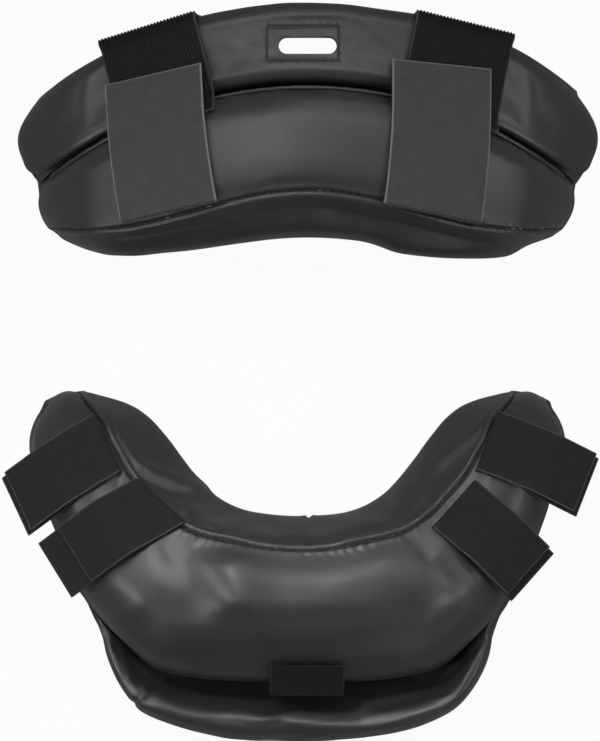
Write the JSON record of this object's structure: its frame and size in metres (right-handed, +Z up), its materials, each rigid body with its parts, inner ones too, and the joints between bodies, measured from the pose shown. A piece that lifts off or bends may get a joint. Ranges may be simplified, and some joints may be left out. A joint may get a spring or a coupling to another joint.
{
  "type": "sports face mask replacement pad set",
  "caption": "Arched forehead pad and U-shaped chin pad of covered foam, with hook-and-loop tapes that hold them inside a wire face mask.",
  "frame": {"origin": "middle of the pair, on the table that both pads lie on", "axes": "+X across the pads to the right, +Y from the chin pad to the forehead pad, +Z up, away from the face and towards the mask"},
  "size_m": [0.2349, 0.2877, 0.0672],
  "materials": {
    "leather": "satin black synthetic leather",
    "lining": "plain black lining",
    "firm_foam": "closed-cell foam, not seen",
    "soft_foam": "open-cell foam, not seen",
    "loop_tape": "grey-black woven loop tape",
    "hook_tape": "black hook tape with fine ribs",
    "plastic": "bare plastic sheet, not seen"
  },
  "bodies": {
    "forehead_pad": {"forehead_upper_cover": "leather", "forehead_lower_cover": "leather", "forehead_wall_cover": "leather", "forehead_back_lining": "lining", "forehead_upper_foam": "firm_foam", "forehead_impact_foam": "firm_foam", "forehead_comfort_foam": "soft_foam", "slot_stiffener": "plastic"},
    "chin_pad": {"chin_front_cover": "leather", "chin_left_inner_band": "leather", "chin_right_inner_band": "leather", "chin_lip_cover": "leather", "chin_back_lining": "lining", "chin_impact_foam": "firm_foam", "chin_comfort_foam": "soft_foam"},
    "forehead_left_loop_tape": {"forehead_left_loop_tape": "loop_tape"},
    "forehead_left_hook_tape": {"forehead_left_hook_tape": "hook_tape"},
    "forehead_right_loop_tape": {"forehead_right_loop_tape": "loop_tape"},
    "forehead_right_hook_tape": {"forehead_right_hook_tape": "hook_tape"},
    "chin_left_upper_top_tape": {"chin_left_upper_top_tape": "hook_tape"},
    "chin_left_upper_under_tape": {"chin_left_upper_under_tape": "hook_tape"},
    "chin_left_lower_top_tape": {"chin_left_lower_top_tape": "hook_tape"},
    "chin_left_lower_under_tape": {"chin_left_lower_under_tape": "hook_tape"},
    "chin_right_upper_top_tape": {"chin_right_upper_top_tape": "hook_tape"},
    "chin_right_upper_under_tape": {"chin_right_upper_under_tape": "hook_tape"},
    "chin_right_lower_top_tape": {"chin_right_lower_top_tape": "hook_tape"},
    "chin_right_lower_under_tape": {"chin_right_lower_under_tape": "hook_tape"},
    "chin_tab_flap": {"chin_tab_flap": "loop_tape"},
    "chin_tab_keeper": {"chin_tab_keeper": "hook_tape"}
  },
  "joints": [
    {"name": "pads_apart", "type": "slide", "parent": "forehead_pad", "child": "chin_pad", "axis": [0, -1, 0], "range_m": [-0.03, 0.06]},
    {"name": "forehead_left_tapes_open", "type": "hinge", "parent": "forehead_pad", "child": "forehead_left_loop_tape", "pos_m": [-0.05133, 0.06192, 0.05781], "axis": [0.9247, 0.2088, 0.3182], "range_deg": [0, 150]},
    {"name": "forehead_left_tapes_lift", "type": "hinge", "parent": "forehead_pad", "child": "forehead_left_hook_tape", "pos_m": [-0.05759, 0.13438, 0.02908], "axis": [-0.9196, -0.2779, -0.2777], "range_deg": [0, 90]},
    {"name": "forehead_right_tapes_open", "type": "hinge", "parent": "forehead_pad", "child": "forehead_right_loop_tape", "pos_m": [0.05181, 0.06135, 0.0587], "axis": [0.936, -0.1948, -0.2933], "range_deg": [0, 150]},
    {"name": "forehead_right_tapes_lift", "type": "hinge", "parent": "forehead_pad", "child": "forehead_right_hook_tape", "pos_m": [0.06246, 0.13579, 0.0294], "axis": [-0.9342, 0.2246, 0.2771], "range_deg": [0, 90]},
    {"name": "chin_left_upper_tapes_open", "type": "hinge", "parent": "chin_pad", "child": "chin_left_upper_top_tape", "pos_m": [-0.07561, -0.02802, 0.0336], "axis": [-0.4103, 0.8731, -0.2633], "range_deg": [0, 110]},
    {"name": "chin_left_upper_tapes_lift", "type": "hinge", "parent": "chin_pad", "child": "chin_left_upper_under_tape", "pos_m": [-0.09278, -0.03851, 0.03493], "axis": [-0.4103, 0.8731, -0.2633], "range_deg": [0, 22]},
    {"name": "chin_left_lower_tapes_open", "type": "hinge", "parent": "chin_pad", "child": "chin_left_lower_top_tape", "pos_m": [-0.05492, -0.05076, 0.03788], "axis": [-0.7136, 0.6618, -0.2299], "range_deg": [0, 45]},
    {"name": "chin_left_lower_tapes_lift", "type": "hinge", "parent": "chin_pad", "child": "chin_left_lower_under_tape", "pos_m": [-0.07298, -0.06128, 0.04034], "axis": [-0.7136, 0.6618, -0.2299], "range_deg": [0, 9]},
    {"name": "chin_right_upper_tapes_open", "type": "hinge", "parent": "chin_pad", "child": "chin_right_upper_top_tape", "pos_m": [0.07384, -0.02739, 0.03333], "axis": [-0.3509, -0.8883, 0.2964], "range_deg": [0, 110]},
    {"name": "chin_right_upper_tapes_lift", "type": "hinge", "parent": "chin_pad", "child": "chin_right_upper_under_tape", "pos_m": [0.09248, -0.03464, 0.03368], "axis": [-0.3509, -0.8883, 0.2964], "range_deg": [0, 22]},
    {"name": "chin_right_lower_tapes_open", "type": "hinge", "parent": "chin_pad", "child": "chin_right_lower_top_tape", "pos_m": [0.06066, -0.05217, 0.03901], "axis": [-0.6501, -0.7256, 0.2255], "range_deg": [0, 110]},
    {"name": "chin_right_lower_tapes_lift", "type": "hinge", "parent": "chin_pad", "child": "chin_right_lower_under_tape", "pos_m": [0.0751, -0.06453, 0.0394], "axis": [-0.6501, -0.7256, 0.2255], "range_deg": [0, 22]},
    {"name": "chin_tab_open", "type": "hinge", "parent": "chin_pad", "child": "chin_tab_flap", "pos_m": [0.00285, -0.1153, 0.03948], "axis": [-0.9999, 0.0086, 0.0062], "range_deg": [0, 120]},
    {"name": "chin_tab_lift", "type": "hinge", "parent": "chin_pad", "child": "chin_tab_keeper", "pos_m": [0.00306, -0.12639, 0.01748], "axis": [0.9999, -0.0079, 0.0083], "range_deg": [0, 18]}
  ],
  "couplings": [
    {"joint": "forehead_left_tapes_lift", "follows": "forehead_left_tapes_open", "ratio": 0.6},
    {"joint": "forehead_right_tapes_lift", "follows": "forehead_right_tapes_open", "ratio": 0.6},
    {"joint": "chin_left_upper_tapes_lift", "follows": "chin_left_upper_tapes_open", "ratio": 0.2},
    {"joint": "chin_left_lower_tapes_lift", "follows": "chin_left_lower_tapes_open", "ratio": 0.2},
    {"joint": "chin_right_upper_tapes_lift", "follows": "chin_right_upper_tapes_open", "ratio": 0.2},
    {"joint": "chin_right_lower_tapes_lift", "follows": "chin_right_lower_tapes_open", "ratio": 0.2},
    {"joint": "chin_tab_lift", "follows": "chin_tab_open", "ratio": 0.15}
  ]
}
